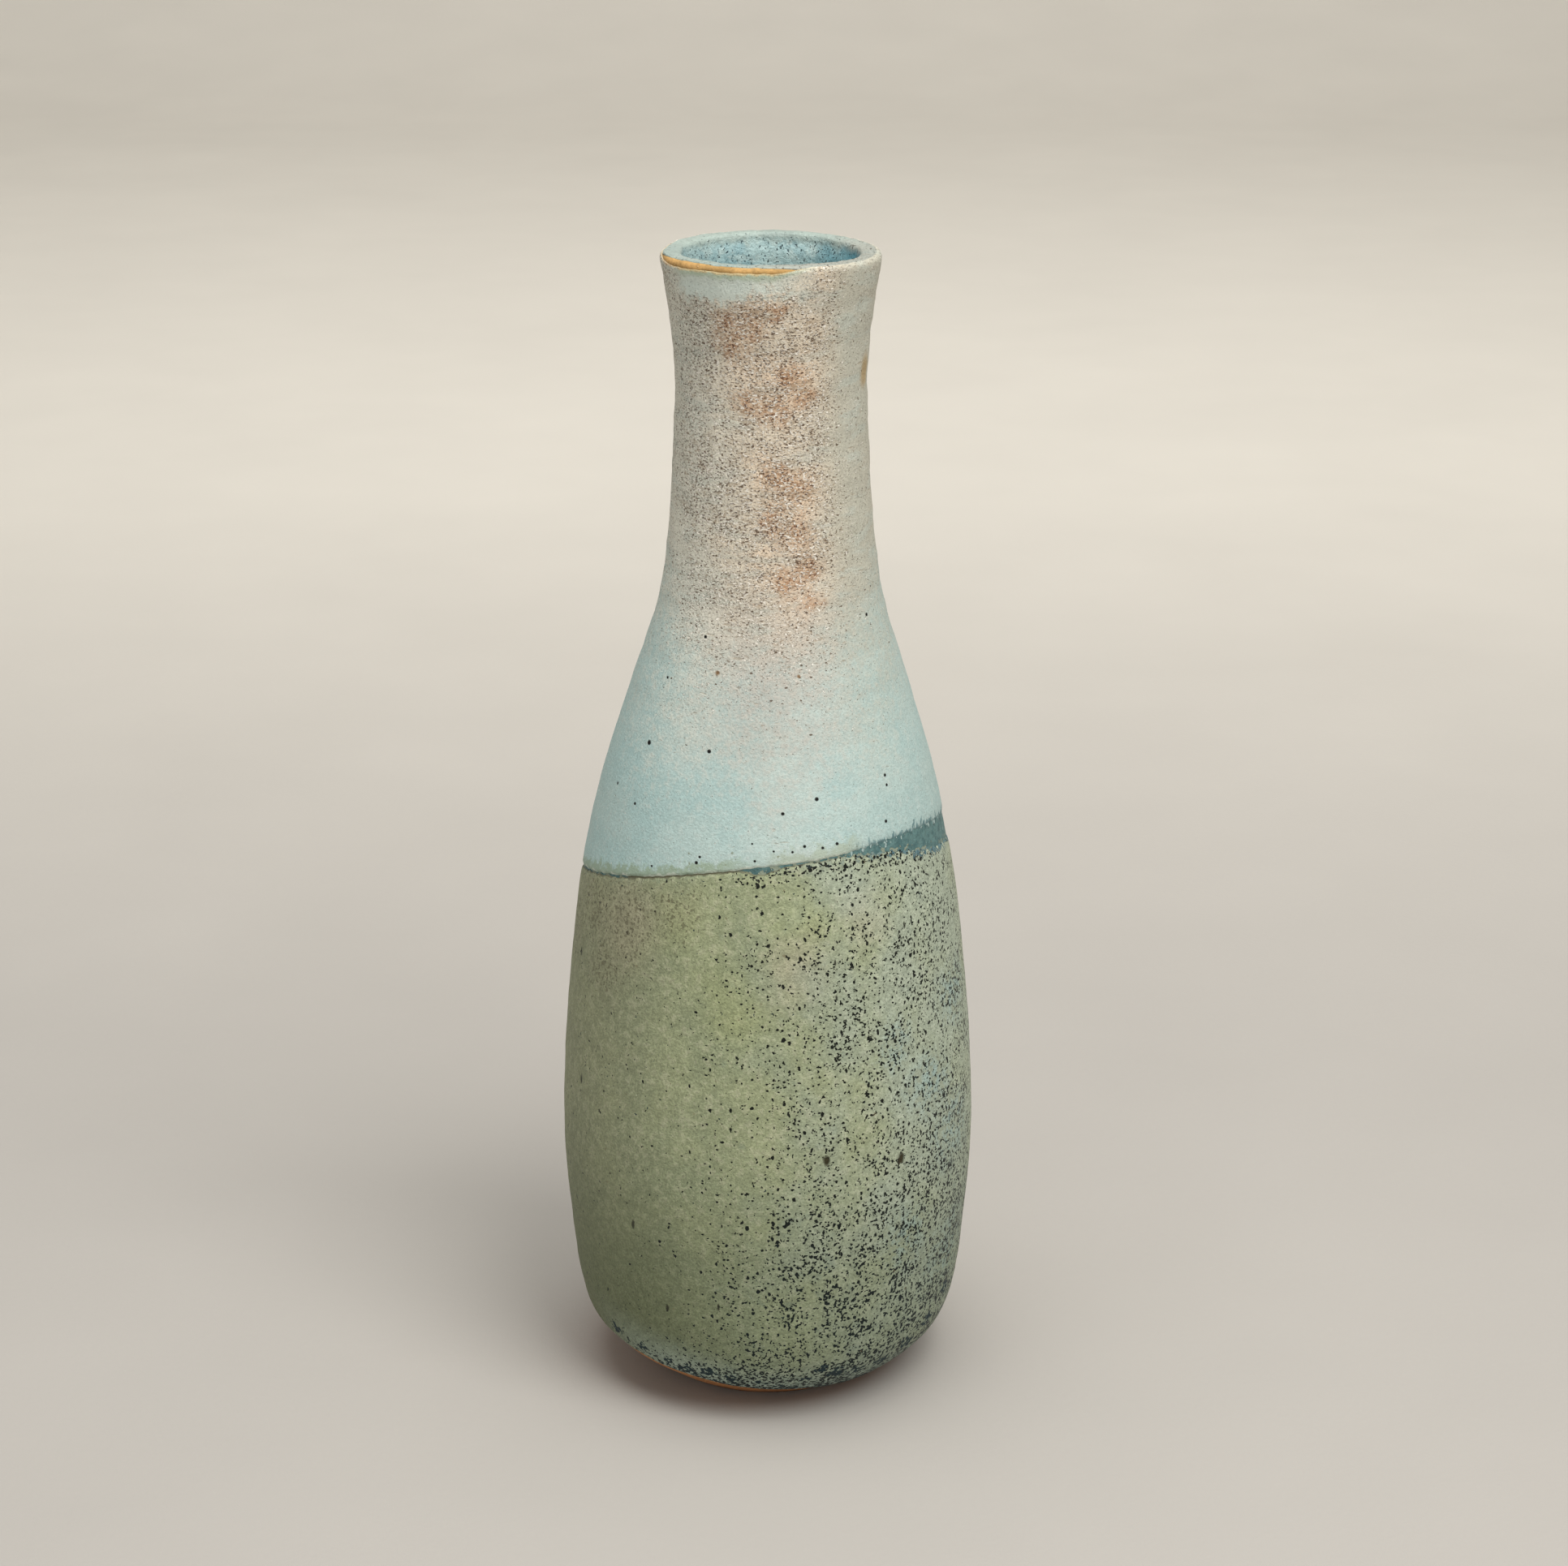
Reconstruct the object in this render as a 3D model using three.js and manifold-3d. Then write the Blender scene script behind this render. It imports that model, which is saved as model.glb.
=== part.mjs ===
// Ceramic bud vase: one thrown stoneware body with four fired coats on it.
// Millimetres, +Z up, standing on z = 0 with the vase's axis on the Z axis.
// The front is -Y and the right is +X.

import * as THREE from "three";
import { mergeVertices } from "three/addons/utils/BufferGeometryUtils.js";
import Module from "manifold-3d";

const wasm = await Module();
wasm.setup();

// Overall
const SEGMENTS = 40; // flats round the vase
const GAP = 0.1; // clearance between one layer and the next
const SLIP = 0.35; // thickness of the slate under-coat
const COAT = 0.45; // thickness of the outer coats
const LINER = 0.45; // thickness of the inside glaze
const SKIN = 2 * GAP + SLIP + COAT; // finished outside surface above the clay

// Clay outside as [radius, height], from the edge of the foot to the side of the lip
const FOOT_OUTSIDE = 19.5;
const LIP_SIDE_Z = 199.1;
const CLAY_OUTSIDE = [
  [FOOT_OUTSIDE, 0],
  [23.4, 3],
  [27.8, 6.7],
  [30.9, 10.6],
  [32.7, 16],
  [34.2, 28],
  [35.2, 42],
  [34.9, 57],
  [33.5, 74],
  [31.3, 92],
  [27.5, 109.8],
  [22.9, 125],
  [18, 140.8],
  [16.2, 154],
  [15.3, 168],
  [15, 179],
  [15.8, 189],
  [17.3, LIP_SIDE_Z],
];

// Clay inside as [radius, height], from the side of the lip down to the middle of the floor
const FLOOR_Z = 6;
const CLAY_INSIDE = [
  [15.05, LIP_SIDE_Z],
  [13.5, 190],
  [12.4, 180],
  [12.5, 168],
  [13.3, 154],
  [14.9, 140],
  [18.8, 125],
  [23.2, 110],
  [26.8, 93],
  [29, 75],
  [30.5, 56],
  [30.7, 40],
  [29.8, 25],
  [27, 14.5],
  [21, 8.6],
  [12, 6.4],
  [0, FLOOR_Z],
];

// Lip and foot
const LIP_TOP_Z = 199.45;
const LIP_CORNER = 0.3; // small chamfer on each side of the lip
const FOOT_INSIDE = 14.5;
const RECESS_OUTSIDE = 13;
const RECESS_DEPTH = 0.8;

// Edges of the coats: planes z = height + alongX * x + alongY * y, because the pot was dipped at a tilt
const PALE_EDGE = { height: 97.8, alongX: 0.154, alongY: -0.16 };
const SAGE_EDGE = { height: 94.4, alongX: 0.093, alongY: -0.244 };
const SLATE_EDGE = { height: 108.2, alongX: 0.12, alongY: -0.2 };
const FOOT_EDGE = { height: 7.64, alongX: -0.17, alongY: 0.11 };
const LIP_EDGE = { height: 198.14, alongX: 0.016, alongY: 0.023 };
const SLATE_SHOWS_AT_FOOT = 0.78; // the under-coat ends this far below the sage coat

const smoothOutline = (points, divisions) => {
  const knots = points.map(([radius, height]) => new THREE.Vector3(radius, height, 0));
  const curve = new THREE.CatmullRomCurve3(knots, false, "centripetal");
  return curve.getPoints(divisions * (knots.length - 1)).map((p) => new THREE.Vector2(p.x, p.y));
};

// Moves an outline out of the clay, which lies on its left.
const offsetOutline = (outline, distance) =>
  outline.map((point, i) => {
    const before = outline[Math.max(i - 1, 0)];
    const after = outline[Math.min(i + 1, outline.length - 1)];
    const along = after.clone().sub(before).normalize();
    const out = new THREE.Vector2(along.y, -along.x);
    const moved = point.clone().addScaledVector(out, distance);
    if (point.x === 0) moved.x = 0;
    return moved;
  });

const manifoldFrom = (geometry) => {
  const bare = geometry.clone();
  bare.deleteAttribute("normal");
  bare.deleteAttribute("uv");
  const merged = mergeVertices(bare, 1e-4);
  const index = merged.getIndex().array;
  const triangles = [];
  for (let i = 0; i < index.length; i += 3) {
    const [a, b, c] = [index[i], index[i + 1], index[i + 2]];
    if (a !== b && b !== c && c !== a) triangles.push(a, b, c);
  }
  return new wasm.Manifold(
    new wasm.Mesh({
      numProp: 3,
      vertProperties: new Float32Array(merged.getAttribute("position").array),
      triVerts: new Uint32Array(triangles),
    }),
  );
};

// Turns a closed outline about the Z axis.
const revolve = (outline) => {
  const lathe = new THREE.LatheGeometry(outline, SEGMENTS);
  lathe.rotateX(Math.PI / 2);
  return manifoldFrom(lathe);
};

// A layer between two distances from a surface of the clay.
const layer = (surface, from, to) => {
  const inner = offsetOutline(surface, from);
  const outer = offsetOutline(surface, to);
  const ring = [...outer, ...inner.reverse()];
  if (ring[0].x !== 0) ring.push(ring[0].clone());
  return revolve(ring);
};

// Everything below a tilted plane, or above it.
const REACH = 400;
const beyondPlane = ({ height, alongX, alongY }, side, shift = 0) => {
  const block = new THREE.BoxGeometry(REACH, REACH, REACH);
  block.translate(0, 0, (side * REACH) / 2);
  const up = new THREE.Vector3(0, 0, 1);
  const normal = new THREE.Vector3(-alongX, -alongY, 1).normalize();
  block.applyQuaternion(new THREE.Quaternion().setFromUnitVectors(up, normal));
  block.translate(0, 0, height + shift);
  return manifoldFrom(block);
};
const belowPlane = (plane, shift) => beyondPlane(plane, -1, shift);
const abovePlane = (plane, shift) => beyondPlane(plane, 1, shift);

const outside = smoothOutline(CLAY_OUTSIDE, 2);
const inside = smoothOutline(CLAY_INSIDE, 1);
inside[inside.length - 1].x = 0;
const lipTop = [
  new THREE.Vector2(CLAY_OUTSIDE.at(-1)[0] - LIP_CORNER, LIP_TOP_Z),
  new THREE.Vector2(CLAY_INSIDE[0][0] + LIP_CORNER, LIP_TOP_Z),
];
const foot = [
  new THREE.Vector2(0, RECESS_DEPTH),
  new THREE.Vector2(RECESS_OUTSIDE, RECESS_DEPTH),
  new THREE.Vector2(FOOT_INSIDE, 0),
];

const clay = revolve([...foot, ...outside, ...lipTop, ...inside]);

// The inside glaze runs over the lip and ends on its outer corner.
const liner = layer([outside.at(-1), ...lipTop, ...inside], GAP, GAP + LINER);

const slate = layer(outside, GAP, GAP + SLIP)
  .subtract(abovePlane(SLATE_EDGE))
  .subtract(belowPlane(FOOT_EDGE, -SLATE_SHOWS_AT_FOOT));

const sage = layer(outside, SKIN - COAT, SKIN)
  .subtract(abovePlane(SAGE_EDGE))
  .subtract(belowPlane(FOOT_EDGE));

// The pale coat lies on the slate under-coat below, and straight on the clay above it.
const slateRoom = layer(outside, 0, SKIN - COAT).subtract(abovePlane(SLATE_EDGE, GAP));
const pale = layer(outside, GAP, SKIN)
  .subtract(belowPlane(PALE_EDGE))
  .subtract(abovePlane(LIP_EDGE))
  .subtract(slateRoom);

const meshFrom = (name, solid, { color, roughness }) => {
  const { vertProperties, triVerts } = solid.getMesh();
  const geometry = new THREE.BufferGeometry();
  geometry.setAttribute("position", new THREE.BufferAttribute(new Float32Array(vertProperties), 3));
  geometry.setIndex(new THREE.BufferAttribute(new Uint32Array(triVerts), 1));
  geometry.computeVertexNormals();
  const material = new THREE.MeshStandardMaterial({ color, roughness, metalness: 0 });
  material.name = name;
  const mesh = new THREE.Mesh(geometry, material);
  mesh.name = name;
  return mesh;
};

const vase = new THREE.Group();
vase.name = "ceramic_bud_vase";
vase.add(
  meshFrom("stoneware_body", clay, { color: 0xb07d4a, roughness: 0.85 }),
  meshFrom("liner_glaze", liner, { color: 0x9cbcc0, roughness: 0.45 }),
  meshFrom("slate_undercoat", slate, { color: 0x4c6a75, roughness: 0.7 }),
  meshFrom("sage_coat", sage, { color: 0x959b7c, roughness: 0.65 }),
  meshFrom("pale_coat", pale, { color: 0xbccfca, roughness: 0.65 }),
);

export default vase;
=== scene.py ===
"""Looks for the ceramic bud vase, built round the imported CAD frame. Metres, +Z up, front -Y, right +X.

Lengths named in the constants are millimetres, and MM turns them into metres.
"""

import math

import bpy
import numpy as np
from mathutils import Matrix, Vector


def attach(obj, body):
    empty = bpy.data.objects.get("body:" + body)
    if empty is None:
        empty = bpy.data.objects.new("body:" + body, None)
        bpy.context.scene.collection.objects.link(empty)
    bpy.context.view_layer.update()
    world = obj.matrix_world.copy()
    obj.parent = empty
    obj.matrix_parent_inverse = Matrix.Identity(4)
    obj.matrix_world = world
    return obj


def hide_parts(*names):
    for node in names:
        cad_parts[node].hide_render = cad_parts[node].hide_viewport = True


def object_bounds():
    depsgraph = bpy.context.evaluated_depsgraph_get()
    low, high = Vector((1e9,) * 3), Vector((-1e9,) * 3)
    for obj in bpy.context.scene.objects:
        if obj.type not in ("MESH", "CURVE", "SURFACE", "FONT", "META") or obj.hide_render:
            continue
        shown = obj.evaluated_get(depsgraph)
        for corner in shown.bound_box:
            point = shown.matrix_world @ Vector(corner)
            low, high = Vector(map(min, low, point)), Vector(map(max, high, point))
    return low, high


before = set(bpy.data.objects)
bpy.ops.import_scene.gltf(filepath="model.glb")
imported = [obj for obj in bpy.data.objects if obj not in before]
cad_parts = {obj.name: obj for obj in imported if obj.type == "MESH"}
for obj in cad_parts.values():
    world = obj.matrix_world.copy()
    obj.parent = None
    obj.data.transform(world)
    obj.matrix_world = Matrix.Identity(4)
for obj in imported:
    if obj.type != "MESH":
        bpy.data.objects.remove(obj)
CAD_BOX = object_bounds()
MM = 0.001
TOP = CAD_BOX[1].z / MM

# ---------------------------------------------------------------- sizes, in millimetres

# Clay outlines as [radius, height], the same points as the CAD
CLAY_OUTSIDE = [
    [19.5, 0], [23.4, 3], [27.8, 6.7], [30.9, 10.6], [32.7, 16], [34.2, 28], [35.2, 42], [34.9, 57],
    [33.5, 74], [31.3, 92], [27.5, 109.8], [22.9, 125], [18, 140.8], [16.2, 154], [15.3, 168], [15, 179],
    [15.8, 189], [17.3, 199.1],
]
CLAY_INSIDE = [
    [15.05, 199.1], [13.5, 190], [12.4, 180], [12.5, 168], [13.3, 154], [14.9, 140], [18.8, 125],
    [23.2, 110], [26.8, 93], [29, 75], [30.5, 56], [30.7, 40], [29.8, 25], [27, 14.5], [21, 8.6],
    [12, 6.4], [0, 6],
]
SKIN = 1.0  # finished outside surface above the clay
LINER_SKIN = 0.55  # finished inside surface above the clay
LIP_OUTER_CORNER = 1.1  # radius of the lip's outer corner
LIP_INNER_CORNER = 0.9
LIP_DROP = 0.3  # the uneven lip lies this far below the CAD's top on average
LIP_WAVE = 0.24  # and is this much higher in front and behind, and lower at the sides
LIP_TILT = 0.1  # and this much lower on the right and higher on the left
FOOT_RECESS = [[12.6, 0.8], [13.6, 0.45], [14.5, 0.04], [15.2, 0], [18.9, 0]]

# The thrown surface
OUTSIDE_RING = 7.3  # height of one turn of the spiral outside
FINE_RING = 2.9
INSIDE_RING = 9.1
INSIDE_RING_DEPTH = 0.22
NECK_FROM, NECK_FULL = 118, 150  # the rougher surface of the neck sets in between these heights
LEAN = 0.6  # the neck was pulled this far to the right
LEAN_FROM, LEAN_FULL = 92, 150  # the lean sets in between these heights

# Edges of the coats: planes z = height + along_x * x + along_y * y
PALE_EDGE = (97.8, 0.154, -0.16)
SAGE_EDGE = (94.4, 0.093, -0.244)
FOOT_EDGE = (7.64, -0.17, 0.11)
SLATE_RISE = 7.0  # the under-coat goes on this far above the pale coat's edge
SLATE_SHOWS_AT_FOOT = 0.78

# Depth of each layer's face below the finished surface
SLATE_DEPTH = 0.3
CLAY_DEPTH = 0.55
LIP_CLAY_DEPTH = 0.3
LINER_DEPTH = 0.05

COLUMNS = 512  # mesh columns round the vase
ROW = 0.75  # mesh row height
MEAN_RADIUS = 25


# ---------------------------------------------------------------- outline

def smooth(points, per=10):
    """Centripetal Catmull-Rom curve through the points."""
    p = np.array(points, float)
    p = np.vstack([2 * p[0] - p[1], p, 2 * p[-1] - p[-2]])
    u = np.arange(per)[:, None] / per
    parts = []
    for p0, p1, p2, p3 in zip(p, p[1:], p[2:], p[3:]):
        a, b, c = (np.linalg.norm(k - j) ** 0.5 for j, k in ((p0, p1), (p1, p2), (p2, p3)))
        start = (p2 - p1) + b * ((p1 - p0) / a - (p2 - p0) / (a + b))
        end = (p2 - p1) + b * ((p3 - p2) / c - (p3 - p1) / (b + c))
        parts.append(
            (2 * u**3 - 3 * u**2 + 1) * p1
            + (u**3 - 2 * u**2 + u) * start
            + (3 * u**2 - 2 * u**3) * p2
            + (u**3 - u**2) * end
        )
    parts.append(p[-2][None])
    return np.vstack(parts)


def normals(outline):
    along = np.gradient(outline, axis=0)
    along /= np.linalg.norm(along, axis=1)[:, None]
    return np.stack([along[:, 1], -along[:, 0]], axis=1)


def arc(centre, radius, start, end, steps=10):
    a = np.radians(np.linspace(start, end, steps))
    return np.stack([centre[0] + radius * np.cos(a), centre[1] + radius * np.sin(a)], axis=1)


def resample(outline, step):
    """Points at equal steps along an outline, and the distance along it."""
    run = np.r_[0, np.cumsum(np.linalg.norm(np.diff(outline, axis=0), axis=1))]
    s = np.linspace(0, run[-1], int(run[-1] / step) + 1)
    return np.stack([np.interp(s, run, outline[:, k]) for k in (0, 1)], axis=1), s


class Outline:
    """The finished surface's section: up the outside from the foot, over the lip and down the inside."""

    def __init__(self):
        clay_out, clay_in = smooth(CLAY_OUTSIDE), smooth(CLAY_INSIDE)
        outer = clay_out + SKIN * normals(clay_out)
        inner = clay_in + LINER_SKIN * normals(clay_in)
        inner[-1, 0] = 0
        top = TOP
        outer_corner = top - LIP_OUTER_CORNER
        inner_corner = top - LIP_INNER_CORNER
        side = np.interp(outer_corner, outer[:, 1], outer[:, 0])
        hole = np.interp(-inner_corner, -inner[:, 1], inner[:, 0])
        section = np.vstack([
            outer[outer[:, 1] < outer_corner - 0.3],
            arc((side - LIP_OUTER_CORNER, outer_corner), LIP_OUTER_CORNER, 0, 90),
            arc((hole + LIP_INNER_CORNER, inner_corner), LIP_INNER_CORNER, 90, 180),
            inner[inner[:, 1] < inner_corner - 0.3],
        ])
        self.points, self.s = resample(section, 0.05)
        self.normals = normals(self.points)
        kernel = np.ones(9) / 9
        for k in (0, 1):
            self.normals[4:-4, k] = np.convolve(self.normals[:, k], kernel, "valid")
        self.normals /= np.linalg.norm(self.normals, axis=1)[:, None]
        self.crest = self.s[np.argmax(self.points[:, 1])]
        self.lip = self.s[np.argmax((self.points[:, 1] > outer_corner) & (self.s < self.crest))]
        self.end = self.s[-1]

    def at(self, s):
        """Radius, height and normal at distances along the section."""
        values = [self.points[:, 0], self.points[:, 1], self.normals[:, 0], self.normals[:, 1]]
        return [np.interp(s, self.s, v) for v in values]

    def s_at_height(self, z):
        outside = self.s < self.lip
        return np.interp(z, self.points[outside, 1], self.s[outside])


SECTION = Outline()


def ease(x, low, high):
    t = np.clip((x - low) / (high - low), 0, 1)
    return t * t * (3 - 2 * t)


def waves(phi, seed, lowest, highest, size):
    """A smooth wobble round the vase, made of whole-number waves."""
    rng = np.random.default_rng(seed)
    total = np.zeros_like(phi)
    for k in range(lowest, highest + 1):
        height = rng.normal()
        turn = rng.uniform(0, 2 * math.pi)
        total += height * np.cos(k * phi + turn) / math.sqrt(highest - lowest + 1)
    return size * total


def lumps(phi, z, seed, size, count=26):
    """Uneven lumps all over the surface, about one unit high."""
    rng = np.random.default_rng(seed)
    total = 0.0
    for _ in range(count):
        turns = round(rng.normal() * 2 * math.pi * MEAN_RADIUS / size / 2)
        rise = rng.normal() * 2 * math.pi / size / 2
        total = total + np.cos(turns * phi + rise * z + rng.uniform(0, 2 * math.pi))
    return total / math.sqrt(count)


def relief(phi, s, z):
    """How far the thrown surface stands out from the plain section."""
    outside = s < SECTION.crest
    neck = ease(z, NECK_FROM, NECK_FULL)
    rough = 0.03 * lumps(phi, z, 1, 9) + (0.012 + 0.035 * neck) * lumps(phi, z, 2, 3.4)
    spiral = 2 * math.pi * z / OUTSIDE_RING + 3 * np.sin(z / 17)
    rings = (0.02 + 0.035 * neck) * np.sin(spiral - phi) * (0.7 + 0.3 * np.cos(phi + z / 31))
    fine = (0.008 + 0.014 * neck) * np.sin(2 * math.pi * z / FINE_RING + 2 * np.cos(z / 9) - 2 * phi)
    uneven = 0.12 * np.cos(2 * phi + 0.7 + z / 90) + 0.07 * np.cos(3 * phi - z / 40)
    thrown_inside = INSIDE_RING_DEPTH * np.sin(2 * math.pi * z / INSIDE_RING - phi)
    lip = 1 - ease(z, TOP - 4, TOP - 1.5)
    shape = np.where(outside, (rings + fine) * lip + uneven * ease(z, 3, 20), thrown_inside * lip)
    return shape + rough * ease(z, 2, 8) - 0.12


def surface(phi, s, depth):
    """Points, in millimetres, at angles from the front and distances along the section.

    Angles are in radians, positive to the right. depth is below the finished surface.
    """
    r, z, out_r, out_z = SECTION.at(s)
    stand = relief(phi, s, z) - depth
    r, z = np.maximum(r + stand * out_r, 0), z + stand * out_z
    rim = ease(z, TOP - 12, TOP - 0.5)
    uneven = LIP_WAVE * np.cos(2 * phi)
    z = z - rim * (LIP_DROP - uneven + LIP_TILT * np.sin(phi) + 0.03 * np.cos(5 * phi + 1))
    shift = LEAN * ease(z, LEAN_FROM, LEAN_FULL)
    return np.stack([r * np.sin(phi) + shift, -r * np.cos(phi), z], axis=-1)


def place(angle, z):
    """A point on the outside at an angle in degrees from the front and a height."""
    return surface(np.radians([angle]), SECTION.s_at_height(np.array([z])), 0.0)[0]


def crossing(plane, shift=0.0):
    """For each column, how far along the outside the surface meets a tilted plane."""
    height, along_x, along_y = plane
    outside = SECTION.s < SECTION.lip
    s, r, z = SECTION.s[outside], SECTION.points[outside, 0], SECTION.points[outside, 1]
    found = []
    for phi in PHI:
        above = z - (height + shift + along_x * r * math.sin(phi) - along_y * r * math.cos(phi))
        i = np.argmax(above > 0)
        found.append(s[i])
    return np.array(found)


PHI = np.linspace(-math.pi, math.pi, COLUMNS, endpoint=False)


# ---------------------------------------------------------------- meshes

def make_piece(name, points, material, closes=(), distances=()):
    """A mesh from a grid of points (rows, columns, 3) in millimetres.

    closes lists the end rows drawn to a point. distances holds named distances from the coat's edges.
    """
    rows, columns, _ = points.shape
    grid = np.arange(rows * columns).reshape(rows, columns)
    right = np.roll(grid, -1, axis=1)
    quads = np.stack([grid[:-1], right[:-1], right[1:], grid[1:]], axis=-1).reshape(-1, 4)
    verts, faces = points.reshape(-1, 3) * MM, quads.tolist()
    for row in closes:
        tip = len(verts)
        verts = np.vstack([verts, (points[row].mean(0) * MM)[None]])
        a, b = grid[row], right[row]
        pair = [b, a] if row == 0 else [a, b]
        faces += np.stack([*pair, np.full(columns, tip)], axis=-1).tolist()
    mesh = bpy.data.meshes.new(name)
    mesh.from_pydata(verts.tolist(), [], faces)
    mesh.shade_smooth()
    mesh.materials.append(material)
    for label, values in dict(distances).items():
        stored = mesh.attributes.new(label, "FLOAT", "POINT")
        stored.data.foreach_set("value", values.ravel().astype(np.float32))
    piece = bpy.data.objects.new(name, mesh)
    bpy.context.scene.collection.objects.link(piece)
    return piece


EDGE_STEPS = np.array([0, 0.03, 0.07, 0.12, 0.18, 0.25, 0.34, 0.45, 0.6, 0.8, 1.05, 1.4])


def band_rows(low, high):
    """Distances along the section between two wobbling edges, close together near each edge."""
    span = high - low
    inner = EDGE_STEPS[-1]
    count = int((span.max() - 2 * inner) / ROW)
    middle = [low + inner + (span - 2 * inner) * k / count for k in range(1, count)]
    rows = [low + d for d in EDGE_STEPS] + middle + [high - d for d in EDGE_STEPS[::-1]]
    return np.array(rows)


def rounded(distance, thickness, width):
    """How far a coat's face falls towards its edge."""
    t = np.clip(1 - distance / width, 0, 1)
    return thickness * (1 - np.sqrt(1 - t * t))


# ---------------------------------------------------------------- materials

def srgb(code):
    """A hex colour as linear RGBA."""
    values = [int(code[i:i + 2], 16) / 255 for i in (0, 2, 4)]
    return [v / 12.92 if v <= 0.04045 else ((v + 0.055) / 1.055) ** 2.4 for v in values] + [1.0]


BLOT_LEVEL = 0.726  # noise almost never comes above this
BLOT_FALL = 0.328  # how far the level falls as the cover goes from none to all


class Paint:
    """Builds one node material. Distances inside it are millimetres on the object."""

    def __init__(self, name):
        self.material = bpy.data.materials.new(name)
        self.material.use_nodes = True
        self.tree = self.material.node_tree
        self.tree.nodes.clear()
        coords = self.node("ShaderNodeTexCoord").outputs["Object"]
        self.p = self.vector("SCALE", coords, scale=1 / MM)
        self.z = self.split(self.p)[2]
        flat = self.vector("MULTIPLY", self.p, (1, 1, 0))
        self.out = self.vector("NORMALIZE", flat)

    def node(self, kind, **settings):
        n = self.tree.nodes.new(kind)
        for key, value in settings.items():
            setattr(n, key, value)
        return n

    def feed(self, socket, value):
        if isinstance(value, bpy.types.NodeSocket):
            self.tree.links.new(value, socket)
        else:
            socket.default_value = value

    def math(self, operation, *values):
        n = self.node("ShaderNodeMath", operation=operation)
        for socket, value in zip(n.inputs, values):
            self.feed(socket, value)
        return n.outputs[0]

    def vector(self, operation, *values, scale=None):
        n = self.node("ShaderNodeVectorMath", operation=operation)
        for socket, value in zip(n.inputs, values):
            self.feed(socket, value)
        if scale is not None:
            self.feed(n.inputs["Scale"], scale)
        single = operation in ("DOT_PRODUCT", "LENGTH", "DISTANCE")
        return n.outputs["Value" if single else "Vector"]

    def split(self, vector):
        n = self.node("ShaderNodeSeparateXYZ")
        self.feed(n.inputs[0], vector)
        return list(n.outputs)

    def add(self, *values):
        total = values[0]
        for value in values[1:]:
            total = self.math("ADD", total, value)
        return total

    def times(self, *values):
        total = values[0]
        for value in values[1:]:
            total = self.math("MULTIPLY", total, value)
        return total

    def less(self, value, from_what=1.0):
        return self.math("SUBTRACT", from_what, value)

    def most(self, *values):
        total = values[0]
        for value in values[1:]:
            total = self.math("MAXIMUM", total, value)
        return total

    def ease(self, value, low, high):
        """0 at low and 1 at high. Either may be the larger."""
        n = self.node("ShaderNodeMapRange", interpolation_type="SMOOTHSTEP", clamp=True)
        fixed = not isinstance(low, bpy.types.NodeSocket) and not isinstance(high, bpy.types.NodeSocket)
        flip = fixed and low > high
        ends = (high, low, 1.0, 0.0) if flip else (low, high, 0.0, 1.0)
        for socket, given in zip(n.inputs, (value, *ends)):
            self.feed(socket, given)
        return n.outputs[0]

    def mix(self, share, a, b):
        n = self.node("ShaderNodeMix", data_type="RGBA")
        for index, value in ((0, share), (6, a), (7, b)):
            self.feed(n.inputs[index], srgb(value) if isinstance(value, str) else value)
        return n.outputs[2]

    def shade(self, colour, amount, spread):
        """Makes a colour lighter and darker by an amount that runs from 0 to 1."""
        return self.vector("SCALE", colour, scale=self.add(self.times(amount, 2 * spread), 1 - spread))

    def swing(self, value, size):
        """A noise value turned into a shift of about half the size either way."""
        return self.times(self.add(value, -0.5), size)

    def noise(self, size, detail=2.0, seed=0, squash=(1, 1, 1), roughness=0.5, vector=False):
        where = self.vector("MULTIPLY_ADD", self.p, squash, (17.3 * seed, -9.1 * seed, 5.7 * seed))
        n = self.node("ShaderNodeTexNoise")
        given = {"Vector": where, "Scale": 1 / size, "Detail": detail, "Roughness": roughness}
        for key, value in given.items():
            self.feed(n.inputs[key], value)
        return n.outputs[1 if vector else 0]

    def moved(self, size, reach, seed, detail=2.0):
        """Positions pushed about, so that round marks come out ragged."""
        push = self.vector("SUBTRACT", self.noise(size, detail, seed, vector=True), (0.5, 0.5, 0.5))
        return self.vector("MULTIPLY_ADD", push, (2 * reach,) * 3, self.p)

    def specks(self, cell, radius, share, seed=0, ragged=0.3, squash=(1, 1, 1), soft=0.45):
        """Scattered round marks. cell is their spacing, and share is how many of the cells hold one."""
        where = self.vector("MULTIPLY_ADD", self.moved(radius * 2.2, ragged, seed, 1.0), squash,
                            (3.7 * seed, 11.9 * seed, -7.3 * seed))
        n = self.node("ShaderNodeTexVoronoi")
        self.feed(n.inputs["Vector"], where)
        self.feed(n.inputs["Scale"], 1 / cell)
        chance, size, _ = self.split(n.outputs["Color"])
        reach = self.times(self.add(self.times(size, 0.7), 0.55), radius / cell)
        held = self.math("LESS_THAN", chance, share)
        near = self.less(self.ease(n.outputs["Distance"], self.times(reach, 1 - soft), reach))
        return self.times(held, near)

    def blots(self, size, cover, seed=0, squash=(1, 1, 1), soft=0.03):
        """Ragged islands that cover about this share of the surface."""
        field = self.noise(size, 2.0, seed, squash)
        level = self.less(self.times(self.math("SQRT", cover), BLOT_FALL), BLOT_LEVEL)
        return self.ease(field, level, self.add(level, soft))

    def spot(self, angle, z, radius, soft=0.5, stretch=(1, 1, 1), at=None):
        """One mark at a place on the outside."""
        away = self.vector("SUBTRACT", at or self.p, tuple(place(angle, z)))
        if stretch != (1, 1, 1):
            away = self.vector("MULTIPLY", away, stretch)
        return self.ease(self.vector("LENGTH", away), radius, radius * (1 - soft))

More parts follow.
